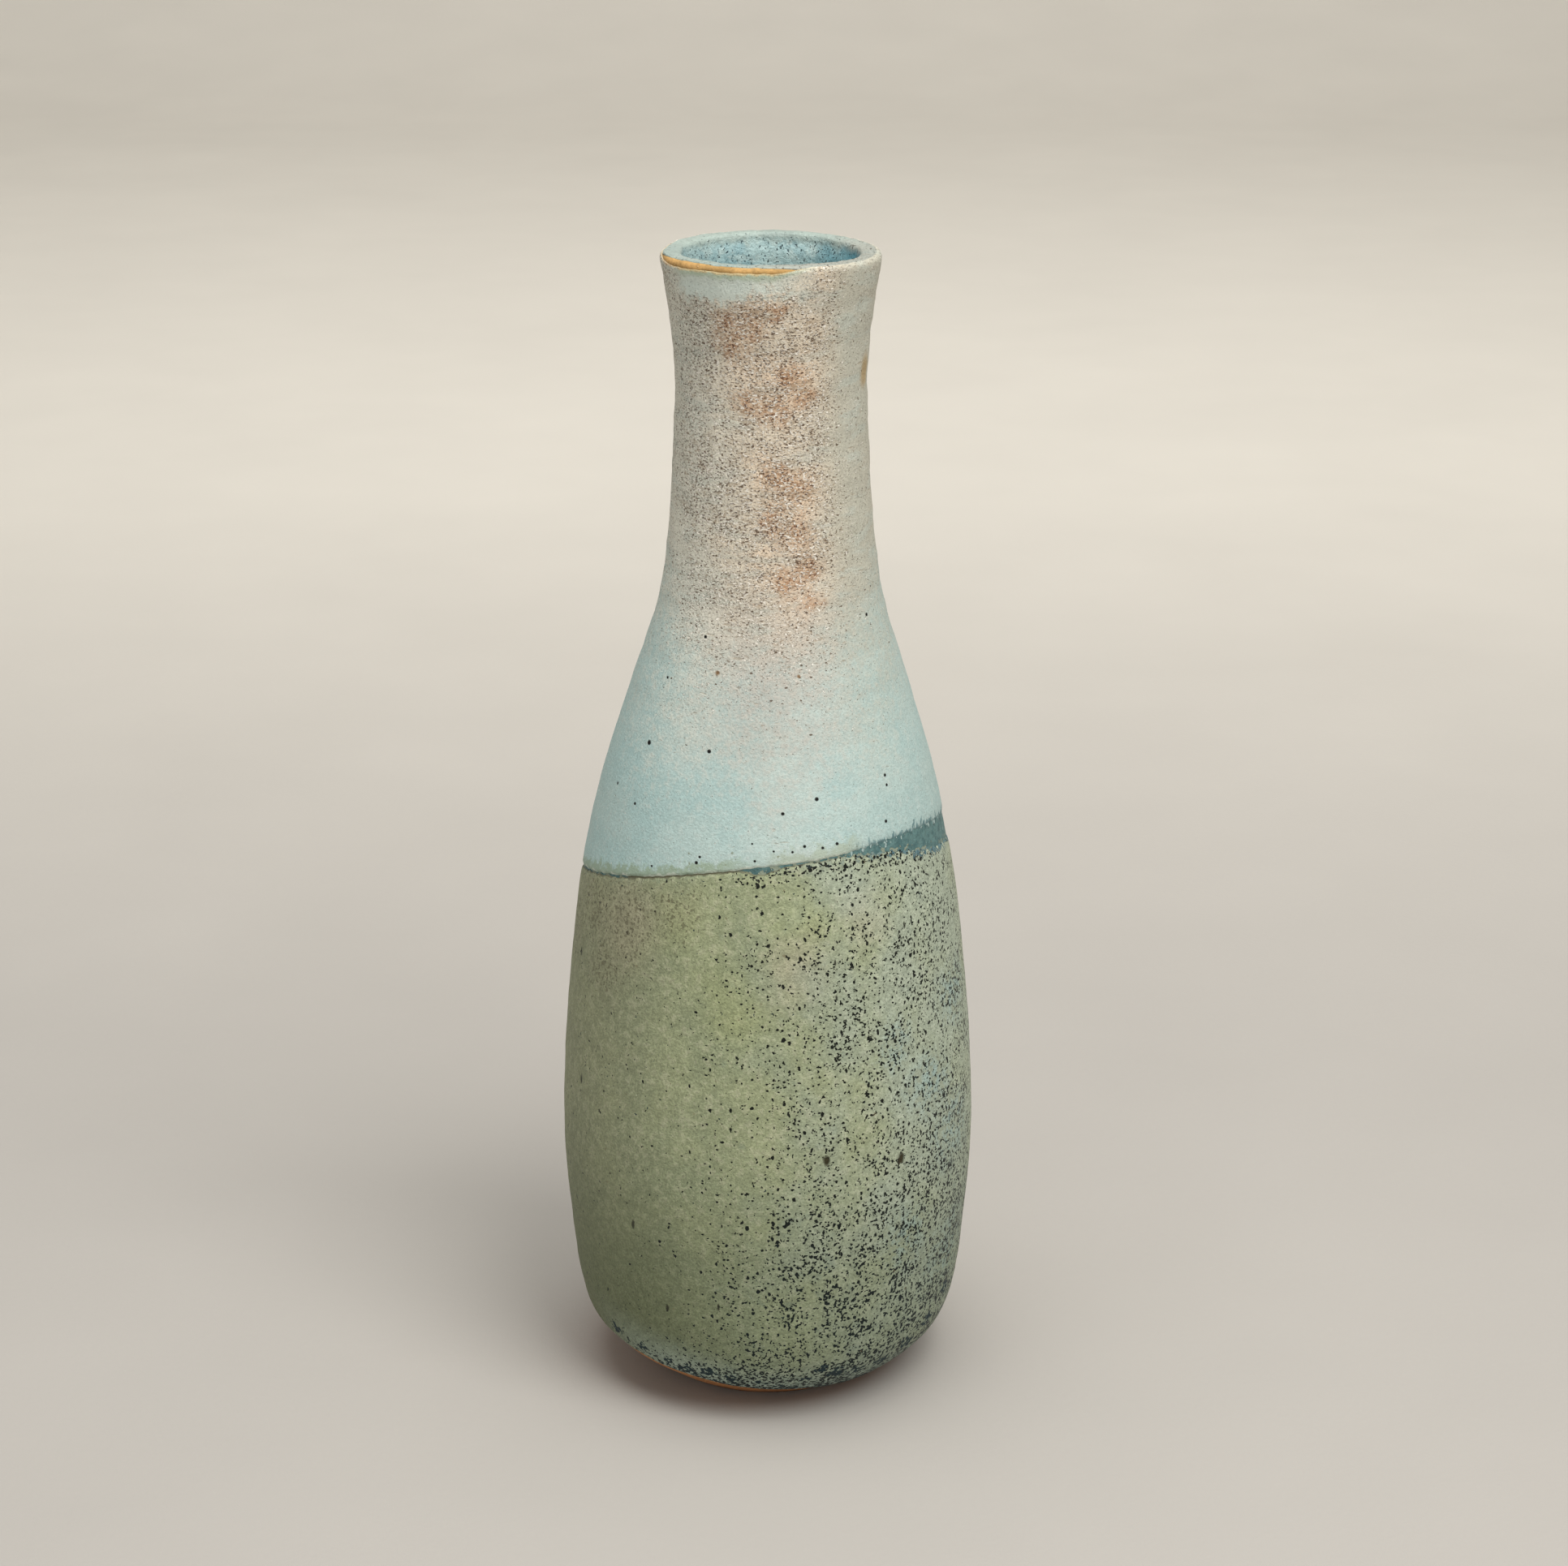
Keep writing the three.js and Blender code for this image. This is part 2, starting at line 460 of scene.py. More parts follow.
    def spots(self, places, **settings):
        return self.most(*(self.spot(*place_and_size, **settings) for place_and_size in places))

    def facing(self, angle):
        """1 on the side at this angle from the front, -1 opposite."""
        a = math.radians(angle)
        return self.vector("DOT_PRODUCT", self.out, (math.sin(a), -math.cos(a), 0))

    def distance(self, label):
        """Millimetres from an edge of the coat, as stored on the mesh."""
        return self.node("ShaderNodeAttribute", attribute_name=label).outputs["Fac"]

    def finish(self, colour, roughness, height, relief, specular=0.35):
        """relief is how far, in millimetres, a height of 1 stands out."""
        bump = self.node("ShaderNodeBump")
        bump.inputs["Distance"].default_value = relief * MM
        bump.inputs["Strength"].default_value = 1.0
        self.feed(bump.inputs["Height"], height)
        shader = self.node("ShaderNodeBsdfPrincipled")
        shader.inputs["Specular IOR Level"].default_value = specular
        self.feed(shader.inputs["Base Color"], colour)
        self.feed(shader.inputs["Roughness"], roughness)
        self.feed(shader.inputs["Normal"], bump.outputs[0])
        out = self.node("ShaderNodeOutputMaterial")
        self.tree.links.new(shader.outputs[0], out.inputs[0])
        return self.material


# Angle from the front in degrees, height and radius in millimetres
PINHOLES = [
    (-51, 119.6, 0.55), (-23, 120.4, 0.42), (-64, 111.2, 0.34), (-51, 109.5, 0.34), (5, 111.1, 0.36),
    (17, 113.1, 0.42), (46, 114.8, 0.34), (46, 113.2, 0.3), (43, 107.5, 0.36), (-33, 138.1, 0.36),
    (57, 140.2, 0.36), (-50, 130.4, 0.3), (-23, 102.5, 0.36), (-22, 103.5, 0.28), (-39, 100.5, 0.26),
    (-5, 106.3, 0.2), (-4, 103.5, 0.26), (2, 105.1, 0.22), (8, 104.9, 0.25), (12, 105.7, 0.32),
    (18, 105.2, 0.3), (23, 105.6, 0.34), (104, 126, 0.4), (133, 112, 0.36), (171, 133, 0.42),
    (-112, 118, 0.4), (-148, 129, 0.36), (-170, 108.5, 0.38),
]
RUST_SPOTS = [(-24, 132.8, 0.6), (13, 132.6, 0.45), (150, 138, 0.5)]
RUST_PATCHES = [
    (-24, 190.0, 5.6), (-22, 187.0, 4.8), (-10, 190.0, 4.0), (4, 192, 2.6), (12, 181.3, 4.8), (20, 178, 3.4),
    (-11, 176.8, 4.4), (3, 175.8, 3.8), (16, 163.3, 5.2), (3, 165, 4.0), (14, 155.5, 5.2), (20, 149.5, 4.2),
    (1, 158, 4.2), (9, 147.5, 4.0), (21, 144, 3.2),
    (108, 177, 5.2), (119, 171, 4.6), (152, 187, 5.0), (165, 181, 4.4), (-137, 172, 5.2), (-124, 166, 4.6),
    (-165, 168, 4.8),
]
BARE_PATCH = (74, 180.3, 3.5)  # bare clay on the right of the neck
LIP_BARE_FROM, LIP_BARE_TO = -102, 25  # the bare arc of the lip's outer corner, in degrees
LIP_BARE_RISE, LIP_BARE_FALL = 40, 24  # degrees over which it widens and narrows
OLIVE_PATCHES = [(-29, 92, 9), (-9, 76, 10), (9, 94, 7), (-12, 81, 8), (120, 70, 11), (-140, 60, 12)]
BEIGE_PATCHES = [(-47, 89, 12), (8, 85, 9), (30, 93, 7), (-160, 88, 12), (150, 84, 10)]
BROWN_PATCHES = [(-64, 90, 11), (-46, 90, 11), (-28, 94, 8), (-80, 84, 10), (-55, 80, 8), (-165, 92, 10)]
HAZES = [
    (42, 34, 9), (52, 61, 9), (62, 50, 11), (38, 70, 6), (68, 74, 9), (64, 26, 11), (-150, 30, 10),
    (110, 45, 11),
]
POOLS = [
    (-54, 12.6, 1.8), (-43, 11.2, 2.0), (-34, 10.0, 1.6), (-26, 9.2, 2.2), (-19, 9.6, 2.4), (-12, 8.4, 2.0),
    (-3, 7.6, 1.4), (12, 8.2, 1.3), (17, 10.6, 1.7), (23, 8.6, 2.6), (31, 8.0, 2.3), (40, 8.6, 2.2),
    (50, 10.6, 2.4), (58, 13.6, 2.4), (67, 17.5, 2.2), (80, 10, 3.0), (110, 9, 3.0), (150, 10, 3.0),
    (-170, 9, 3.0), (-120, 11, 3.0),
]
PITS = [(16, 51.6, 1.0), (39, 49.1, 1.05)]
SHORT_MARKS = [
    (-71, 80.4, 0.75), (-64, 58.6, 0.7), (-40, 36.6, 0.75), (-30, 22, 0.6), (-14, 24, 0.55), (20, 86, 0.45),
    (45, 89.6, 0.5), (20, 80, 0.45),
]


def pale_paint():
    g = Paint("pale_glaze")
    from_low, from_high = g.distance("from_low"), g.distance("from_high")
    fine = g.noise(0.42, 3.0, seed=1, roughness=0.7)
    grit = g.noise(1.3, 3.0, seed=13, roughness=0.65)
    cloud = g.noise(11, 3.0, seed=2)
    broad = g.noise(26, 2.0, seed=3)
    streak = g.noise(5, 2.5, seed=4, squash=(0.7, 0.7, 2.4))
    left, right = g.facing(-80), g.facing(78)

    # clean pale blue of the shoulder
    clean = g.mix(g.ease(cloud, 0.4, 0.62), "b2c4bf", "a6bebb")
    clean = g.mix(g.times(g.ease(right, 0.4, 0.95), 0.45), clean, "a1b5b0")
    clean = g.mix(g.times(g.ease(left, 0.2, 0.95), 0.5), clean, "a8c5c3")
    clean = g.mix(g.times(g.ease(grit, 0.5, 0.66), 0.3), clean, "bfcac4")

    # speckled beige of the neck, fading out down the shoulder
    up = g.less(g.add(g.times(g.facing(8), -20), 133), g.z)
    up = g.add(up, g.swing(broad, 34), g.swing(grit, 34), g.swing(fine, 16))
    beige_share = g.ease(up, -9, 27)
    beige = g.mix(g.ease(cloud, 0.42, 0.6), "e6d2b9", "dccfba")
    beige = g.mix(g.times(g.ease(g.z, 156, 128), 0.95), beige, "b2afa6")
    beige = g.mix(g.times(g.ease(left, 0.2, 0.95), 0.8), beige, "d4d7ca")
    beige = g.mix(g.times(g.ease(right, 0.5, 0.92), 0.85), beige, "b0b1a3")
    beige = g.mix(g.times(g.ease(streak, 0.5, 0.66), 0.35), beige, "b7c1b8")
    colour = g.mix(beige_share, clean, beige)
    colour = g.shade(colour, g.ease(fine, 0.36, 0.64), 0.09)

    # how coarse the surface is: dry and pitted on the neck, smooth on the right and lower down
    coarse = g.ease(g.add(g.z, g.swing(broad, 16), g.times(g.facing(14), 8)), 126, 168)
    coarse = g.times(coarse, g.less(g.times(g.ease(g.facing(84), 0.5, 0.86), 0.82)))
    coarse = g.times(coarse, g.less(g.times(g.ease(left, 0.72, 1.0), 0.35)))
    coarse = g.times(coarse, g.add(g.times(g.ease(g.noise(6.5, 2.0, seed=6), 0.36, 0.58), 0.4), 0.6))
    band_side = g.ease(g.add(g.facing(-20), g.swing(cloud, 0.4)), 0.62, 0.92)
    band_height = g.add(g.z, g.swing(cloud, 10), g.swing(grit, 7))
    lip_band = g.times(g.ease(band_height, TOP - 6.6, TOP - 4.0), band_side)
    coarse = g.times(coarse, g.less(g.times(lip_band, 0.85)))

    # rust where the coat is thin
    rust = g.spots(RUST_PATCHES, soft=1.0, at=g.moved(1.8, 2.6, seed=9, detail=3.0))
    rust = g.times(rust, beige_share, g.add(g.times(g.ease(g.noise(2.6, 3.0, seed=16), 0.4, 0.6), 0.3), 0.7))
    colour = g.mix(g.times(rust, 0.5), colour, "c39160")
    stain = g.noise(0.6, 3.0, seed=17, squash=(0.8, 0.8, 1.4), roughness=0.6)
    colour = g.mix(g.times(rust, g.ease(stain, 0.43, 0.58), 0.66), colour, "925d34")

    # dark and white marks
    dash = g.blots(0.34, g.times(coarse, 0.2), seed=5, squash=(0.75, 0.75, 1.4), soft=0.03)
    dot = g.specks(0.66, 0.19, g.times(coarse, 0.5), seed=2, ragged=0.12, squash=(0.8, 0.8, 1.3))
    brownish = g.blots(0.5, g.times(coarse, 0.3), seed=18, squash=(0.8, 0.8, 1.4), soft=0.06)
    dust = g.specks(0.7, 0.16, g.times(beige_share, 0.35), seed=3, ragged=0.12)
    white = g.blots(0.38, g.times(coarse, 0.32), seed=7, squash=(0.8, 0.8, 1.4))
    ring = g.blots(2.2, g.times(coarse, 0.25), seed=8, squash=(0.8, 0.8, 2.6), soft=0.1)
    colour = g.mix(g.times(ring, 0.35), colour, "a08a6e")
    colour = g.mix(g.times(dust, 0.5), colour, "7d7264")
    colour = g.mix(g.times(brownish, 0.5), colour, "92785c")
    colour = g.mix(g.times(white, 0.85), colour, "f8f2e6")
    colour = g.mix(g.times(g.most(dash, dot), 0.86), colour, g.mix(rust, "5d4630", "5c3119"))

    # thicker, cleaner band under the lip
    colour = g.mix(g.times(lip_band, 0.8), colour, "cbd8d0")
    green = g.times(g.ease(g.add(from_high, g.swing(grit, 1.6)), 1.6, 0.4), band_side)
    colour = g.mix(g.times(green, 0.7), colour, "a3b294")
    stained = g.ease(g.add(from_high, g.swing(grit, 0.8)), 0.45, 0.1)
    stained = g.times(stained, g.ease(g.facing(-46), 0.3, 0.5))
    colour = g.mix(g.times(stained, 0.6), colour, "c29c5f")

    # bare clay patch on the neck
    bare = g.spot(*BARE_PATCH, soft=0.7, stretch=(1.3, 1.3, 0.9), at=g.moved(2.5, 0.6, seed=15))
    colour = g.mix(g.times(bare, 0.85), colour, "a99065")

    # the dip line: a greenish overlap above a whitish ridge on the left, a thin dragged edge on the right
    left_front = g.ease(g.facing(-55), 0.55, 0.8)
    middle = g.ease(g.facing(16), 0.95, 0.985)
    overlap = g.times(g.ease(g.add(from_low, g.swing(grit, 6)), 2.3, 0.9), left_front)
    colour = g.mix(g.times(overlap, 0.72), colour, "8c9c80")
    overlap = g.times(g.ease(g.add(from_low, g.swing(grit, 9)), 3.0, 0.8), middle)
    colour = g.mix(g.times(overlap, 0.65), colour, "a3ac96")
    seeded = g.times(g.ease(from_low, 6, 1), g.ease(g.facing(20), 0.4, 1.0), 0.4)
    seeds = g.specks(1.2, 0.26, seeded, seed=10, ragged=0.2)
    colour = g.mix(g.times(seeds, 0.7), colour, "7c8069")
    ridge = g.ease(g.add(from_low, g.swing(grit, 1.6)), 0.55, 0.2)
    broken = g.ease(g.noise(2.4, 3.0, seed=19), 0.4, 0.56)
    ridge = g.times(ridge, g.less(g.ease(g.facing(60), 0.75, 0.93)), broken)
    colour = g.mix(g.times(ridge, 0.7), colour, "d2dacd")
    drag = g.noise(0.55, 2.0, seed=12, squash=(1, 1, 0.35))
    dragged = g.ease(g.add(from_low, g.swing(drag, 6)), 0.9, 0.1)
    colour = g.mix(g.times(dragged, g.ease(g.facing(75), 0.62, 0.85), 0.85), colour, "56777b")

    holes = g.specks(4.6, 0.28, g.times(g.ease(g.z, 150, 128), 0.14), seed=11, ragged=0.1)
    holes = g.most(holes, g.spots(PINHOLES))
    colour = g.mix(holes, colour, "100f0d")
    colour = g.mix(g.times(g.spots(RUST_SPOTS, soft=0.7), 0.85), colour, "7a5628")

    marks = g.most(g.times(dash, 0.8), dot, holes, g.times(ring, 0.3), g.times(brownish, 0.4))
    rough_relief = g.add(g.times(coarse, 0.9), 0.3)
    height = g.times(g.add(fine, g.times(grit, 0.35)), rough_relief)
    height = g.add(height, g.times(marks, -0.45), g.times(white, 0.3))
    roughness = g.add(g.times(fine, 0.2), g.times(beige_share, 0.1), 0.48)
    return g.finish(colour, roughness, height, 0.42, specular=0.2)


def sage_paint():
    g = Paint("sage_glaze")
    from_low, from_high = g.distance("from_low"), g.distance("from_high")
    fine = g.noise(0.42, 3.0, seed=21, roughness=0.7)
    grit = g.noise(1.5, 3.0, seed=22, roughness=0.65)
    cloud = g.noise(12, 3.0, seed=23)
    right, left = g.facing(70), g.facing(-80)
    low = g.ease(g.z, 58, 14)

    colour = g.mix(g.ease(cloud, 0.4, 0.6), "979e7c", "8e9677")
    colour = g.mix(g.times(g.ease(grit, 0.5, 0.64), 0.4), colour, "a7a68e")
    wandering = g.moved(9, 4, seed=24, detail=3.0)
    colour = g.mix(g.times(g.spots(OLIVE_PATCHES, soft=1.0, at=wandering), 0.5), colour, "99a073")
    colour = g.mix(g.times(g.spots(BEIGE_PATCHES, soft=1.0, at=wandering), 0.5), colour, "a69e88")
    # the coat is thinner and bluer on the right
    thin = g.ease(g.add(right, g.swing(cloud, 1.4)), 0.2, 1.1)
    colour = g.mix(g.times(thin, 0.65), colour, "a9b3a4")
    haze = g.times(g.spots(HAZES, soft=1.0, at=wandering), g.ease(grit, 0.4, 0.6))
    colour = g.mix(g.times(haze, 0.7), colour, "8aa3a0")
    # painted shade: the left side, turned away from the key light, is darker
    colour = g.mix(g.times(g.ease(left, 0.5, 1.0), 0.45), colour, "82836b")
    # painted shade: darker towards the foot, where the body curves under, and darker still low on the left
    colour = g.mix(g.times(low, 0.45), colour, "67735d")
    colour = g.mix(g.times(low, g.ease(left, 0.1, 0.8), 0.7), colour, "5f6648")
    # near the foot in front, lighter and bluer: partly the thinner coat, partly painted light for the light
    # bounced up from the floor onto the under-curve
    colour = g.mix(g.times(g.ease(from_low, 12, 1), g.ease(g.facing(20), 0.0, 0.8), 0.85), colour, "9fafa3")
    colour = g.shade(colour, g.ease(fine, 0.36, 0.64), 0.17)
    colour = g.shade(colour, g.ease(grit, 0.36, 0.64), 0.09)

    # specks of the under-coat, many on the right and near the foot, few on the left
    side = g.ease(g.add(right, g.swing(cloud, 0.8)), -0.12, 0.92)
    cluster = g.ease(g.noise(5.5, 2.5, seed=27), 0.4, 0.6)
    crowd = g.add(g.times(side, 0.115), g.times(g.ease(right, 0.6, 1.0), 0.02), 0.004)
    crowd = g.times(crowd, g.add(g.times(cluster, 0.9), 0.55))
    crowd = g.add(crowd, g.times(low, g.ease(right, -0.3, 0.8), g.add(cluster, 0.3), 0.15))
    crowd = g.add(crowd, g.times(haze, 0.09))
    crowd = g.add(crowd, g.times(g.ease(from_low, 8, 0.5), g.ease(g.facing(25), -0.1, 0.7), 0.16))
    crowd = g.add(crowd, g.times(g.ease(from_low, 13, 1), g.ease(g.facing(42), 0.1, 0.8), 0.25))
    near_line = g.times(g.ease(from_high, 3.4, 0.6), g.ease(g.facing(25), 0.7, 0.95))
    crowd = g.times(crowd, g.less(g.times(g.ease(from_high, 26, 4), 0.4)))
    crowd = g.add(crowd, g.times(near_line, 0.2))
    islands = g.blots(0.66, g.times(crowd, 0.9), seed=28, soft=0.02)
    large_share = g.add(g.times(crowd, 4.4), 0.014)
    large = g.specks(1.05, 0.32, large_share, seed=21, ragged=0.3, squash=(1.2, 1.2, 0.8), soft=0.3)
    small_share = g.times(crowd, 5.5)
    small = g.specks(0.72, 0.22, small_share, seed=29, ragged=0.2, squash=(0.85, 0.85, 1.15), soft=0.3)
    dark = g.most(islands, large, small)
    speck_colour = g.mix(g.times(g.most(low, haze), 0.6), "0c120b", "061c1f")
    halo = g.blots(2.2, g.times(crowd, 1.5), seed=30, soft=0.12)
    colour = g.mix(g.times(halo, 0.12), colour, "61787a")
    colour = g.mix(dark, colour, speck_colour)
    rusty = g.specks(1.9, 0.28, 0.1, seed=27, ragged=0.3)
    colour = g.mix(g.times(rusty, 0.55), colour, "6f6449")
    crumbs = g.specks(1.5, 0.15, 0.14, seed=36, ragged=0.12)
    colour = g.mix(g.times(crumbs, 0.55), colour, "bcc0a8")

    # brown mottling high on the left
    brown = g.spots(BROWN_PATCHES, soft=0.9, at=wandering)
    lump = g.blots(0.6, g.times(brown, 0.3), seed=31, soft=0.05)
    colour = g.mix(g.times(brown, 0.2), colour, "989279")
    colour = g.mix(g.times(lump, 0.55), colour, "5a5640")

    # upper edge: a brown line on the left, broken to slate on the right
    wide = g.ease(g.facing(85), 0.35, 0.8)
    ragged_edge = g.add(from_high, g.swing(g.noise(1.2, 3.0, seed=26, roughness=0.7), 9))
    breaks = g.times(g.ease(ragged_edge, 0.7, 0.2), g.add(g.times(wide, 0.9), 0.1))
    colour = g.mix(g.times(breaks, 0.9), colour, "4f6d74")
    line = g.ease(g.add(from_high, g.swing(grit, 1.2)), 0.36, 0.1)
    colour = g.mix(g.times(line, g.less(wide), 0.7), colour, "5f5d4a")

    # dark teal pools along the foot
    pooled = g.moved(1.6, 1.6, seed=32, detail=3.0)
    pool = g.times(g.spots(POOLS, soft=0.8, at=pooled), 0.9)
    rim = g.times(g.ease(g.add(from_low, g.swing(cloud, 6)), 4.5, 0.3), g.ease(g.facing(22), 0.1, 0.8), 0.5)
    pool = g.blots(0.75, g.most(pool, rim), seed=33, soft=0.03)
    colour = g.mix(g.times(pool, 0.96), colour, "08272f")

    pits = g.spots(PITS, soft=0.6, stretch=(1.25, 1.25, 0.8), at=g.moved(0.9, 0.35, seed=34))
    colour = g.mix(pits, colour, "37331f")
    marks = g.spots(SHORT_MARKS, soft=0.6, stretch=(1.7, 1.7, 0.62), at=g.moved(0.9, 0.25, seed=35))
    colour = g.mix(g.times(marks, 0.88), colour, "2c2c22")

    height = g.add(g.times(fine, 0.45), g.times(grit, 0.25), g.times(dark, -0.25), g.times(lump, -0.2))
    height = g.add(height, g.times(pits, -1.2), g.times(marks, -0.6), g.times(breaks, -0.5))
    roughness = g.add(g.times(fine, 0.2), g.times(dark, -0.12), 0.48)
    return g.finish(colour, roughness, height, 0.42, specular=0.2)


def slate_paint():
    g = Paint("slate_glaze")
    from_low, from_high = g.distance("from_low"), g.distance("from_high")
    fine = g.noise(0.75, 3.0, seed=81, roughness=0.65)
    grit = g.noise(1.6, 3.0, seed=82, roughness=0.6)
    colour = g.mix(g.ease(grit, 0.42, 0.6), "5a7876", "4a6868")
    colour = g.shade(colour, g.ease(fine, 0.36, 0.64), 0.12)
    gap = g.distance("from_sage")
    crumbs = g.blots(1.2, g.times(g.ease(gap, 1.6, -0.2), 0.42), seed=83)
    colour = g.mix(g.times(crumbs, 0.9), colour, "89917f")
    under = g.distance("from_pale")
    open_side = g.ease(g.facing(75), 0.55, 0.8)
    veil = g.blots(0.7, g.times(g.ease(under, 1.5, -0.2), open_side, 0.3), seed=84, squash=(1, 1, 0.4))
    colour = g.mix(g.times(veil, 0.8), colour, "a6bab6")
    dust = g.specks(1.0, 0.22, 0.16, seed=85, ragged=0.2)
    colour = g.mix(g.times(dust, open_side, 0.7), colour, "93a7a0")
    colour = g.mix(g.ease(g.facing(-29), 0.925, 0.95), colour, "66644f")
    colour = g.mix(g.times(g.ease(from_low, 6, 2), 0.75), colour, "1f3a42")
    height = g.add(g.times(fine, 0.7), g.times(grit, 0.5), g.times(g.most(crumbs, veil), 0.5))
    height = g.add(height, g.times(g.ease(from_high, 0.4, 0.0), -0.1))
    roughness = g.add(g.times(fine, 0.2), 0.48)
    return g.finish(colour, roughness, height, 0.3, specular=0.2)


def liner_paint():
    g = Paint("liner_glaze")
    fine = g.noise(0.6, 3.0, seed=101, roughness=0.65)
    grit = g.noise(1.8, 3.0, seed=102, roughness=0.6)
    cloud = g.noise(7, 3.0, seed=103)
    deep = g.ease(g.add(g.z, g.swing(grit, 2)), TOP - 0.7, TOP - 2.6)
    painted_depth_shade = g.ease(g.add(g.z, g.swing(cloud, 14)), TOP - 2.5, TOP - 20)
    colour = g.mix(g.ease(cloud, 0.42, 0.6), "9fada5", "97a59e")
    inside = g.mix(g.ease(cloud, 0.42, 0.58), "b0c8c6", "96b5b8")
    inside = g.mix(g.times(g.ease(grit, 0.5, 0.62), 0.6), inside, "bfd0cb")
    colour = g.mix(deep, colour, inside)
    # painted shade: darker further down inside the neck
    colour = g.mix(g.times(painted_depth_shade, 0.65), colour, "6f959a")
    right = g.ease(g.add(g.facing(78), g.swing(cloud, 0.8)), 0.35, 0.9)
    colour = g.mix(g.times(deep, right, 0.8), colour, "3f8a9c")
    colour = g.mix(g.times(deep, g.ease(g.facing(-70), 0.2, 0.9), 0.6), colour, "8aa5a6")
    beige_side = g.times(g.ease(g.facing(62), 0.1, 0.8), g.less(deep))
    colour = g.mix(g.times(beige_side, 0.7), colour, "a09f95")
    colour = g.shade(colour, g.ease(fine, 0.36, 0.64), 0.08)
    dashed = g.add(g.times(deep, 0.07), 0.02, g.times(beige_side, 0.1))
    dash = g.blots(0.42, dashed, seed=104, squash=(1, 1, 0.8))
    dot = g.specks(0.7, 0.17, g.add(g.times(deep, 0.4), 0.1), seed=105, ragged=0.2)
    marks = g.most(dash, g.times(dot, 0.8))
    colour = g.mix(g.times(marks, 0.85), colour, g.mix(beige_side, "17303a", "4d4334"))
    height = g.add(g.times(fine, 0.7), g.times(grit, 0.4), g.times(marks, -0.4))
    roughness = g.add(g.times(fine, 0.2), 0.34)
    return g.finish(colour, roughness, height, 0.35, specular=0.35)


def clay_paint():
    g = Paint("stoneware_clay")
    fine = g.noise(0.6, 4.0, seed=121, roughness=0.65)
    cloud = g.noise(5, 3.0, seed=122)
    turned = g.noise(1.6, 2.0, seed=123, squash=(0.12, 0.12, 1))
    high = g.ease(g.z, 60, 140)
    foot = g.mix(g.ease(cloud, 0.4, 0.6), "bd8556", "a8754c")
    lip = g.mix(g.ease(cloud, 0.42, 0.58), "be975f", "aa8753")
    colour = g.shade(g.mix(high, foot, lip), g.ease(fine, 0.34, 0.66), 0.14)
    grog = g.specks(1.1, 0.26, 0.3, seed=124, ragged=0.15)
    iron = g.specks(1.7, 0.26, 0.22, seed=125, ragged=0.15)
    colour = g.mix(g.times(grog, 0.5), colour, "d8b98c")
    colour = g.mix(g.times(iron, 0.7), colour, "4a3422")
    height = g.add(g.times(fine, 0.6), g.times(turned, 0.6), g.times(grog, 0.4))
    roughness = g.add(g.times(fine, 0.2), 0.68)
    return g.finish(colour, roughness, height, 0.2, specular=0.25)


# ---------------------------------------------------------------- edges of the coats

phi = PHI[None, :]
degrees = np.degrees(PHI)

# How much slate shows between the pale and the sage coat: angle from the front and width
SLATE_GAPS = [
    (-90, 0.4), (-75, 0.18), (-60, 0.22), (-53, 0.26), (-45, 0.16), (-35, 0.1), (-20, 0.08), (-10, 0.1),
    (-6, 0.3), (-4, 1.05), (-1, 1.1), (1.5, 0.75), (5, 0.35), (9, 0.15), (15, 0.12), (24, 0.25), (28, 0.6),
    (32, 1.0), (37, 1.45), (44, 2.0), (52, 2.9), (60, 3.8), (67, 4.4), (80, 4.8),
]
gap_angles, gap_widths = zip(*SLATE_GAPS)
right_side = ease(degrees, 20, 34)

pale_low = crossing(PALE_EDGE) + waves(PHI, 5, 2, 9, 0.12) + waves(PHI, 6, 12, 110, 0.07)
pale_low -= 0.5 * np.exp(-(((degrees - 20) / 14) ** 2))
pale_low += right_side * waves(PHI, 13, 60, 200, 0.1)
near_front = ease(degrees, -100, -88) * (1 - ease(degrees, 80, 95))
plane_gap = pale_low - crossing(SAGE_EDGE)
measured_gap = np.interp(degrees, gap_angles, gap_widths) + waves(PHI, 8, 30, 120, 0.05)
slate_gap = measured_gap * near_front + plane_gap * (1 - near_front)
sage_high = pale_low - slate_gap + right_side * waves(PHI, 14, 40, 200, 0.3)
foot_low = crossing(FOOT_EDGE) - 0.1 + 0.4 * np.sin(PHI - 0.6)
foot_low += waves(PHI, 9, 2, 7, 0.25) + waves(PHI, 10, 9, 40, 0.1)
slate_low = foot_low - SLATE_SHOWS_AT_FOOT + waves(PHI, 11, 5, 40, 0.12)
slate_high = crossing(PALE_EDGE, SLATE_RISE)

# 1 where the lip's outer corner is bare clay
lip_bare = ease(degrees, LIP_BARE_FROM, LIP_BARE_FROM + LIP_BARE_RISE)
lip_bare = lip_bare * (1 - ease(degrees, LIP_BARE_TO - LIP_BARE_FALL, LIP_BARE_TO))
lip_frayed = lip_bare * (1 + waves(PHI, 12, 6, 60, 0.05))
pale_high = SECTION.lip + 1.55 - 1.75 * lip_frayed
liner_low = SECTION.lip + 0.45 + 1.45 * lip_frayed * (1 - 0.35 * ease(np.abs(degrees + 35), 20, 60))


# ---------------------------------------------------------------- pieces

def pale_piece():
    s = band_rows(pale_low, pale_high)
    from_low, from_high = s - pale_low, pale_high - s
    bead_height = 0.06 * (1 - 0.85 * ease(degrees, 22, 45)) * (1 + waves(PHI, 15, 8, 80, 0.35))
    bead = bead_height * np.exp(-(((from_low - 0.4) / 0.25) ** 2))
    top_step = 0.12 + 0.12 * np.clip(lip_bare, 0, 1)
    edge_width = 1.1 + 1.2 * right_side * near_front
    depth = rounded(from_low, SLATE_DEPTH + 0.14 - 0.1 * right_side * near_front, edge_width) - bead
    depth = depth + rounded(from_high, 1.0, 0.5) * top_step
    distances = {"from_low": from_low, "from_high": from_high}
    return make_piece("pale_glaze_coat", surface(phi, s, depth), pale_paint(), distances=distances)


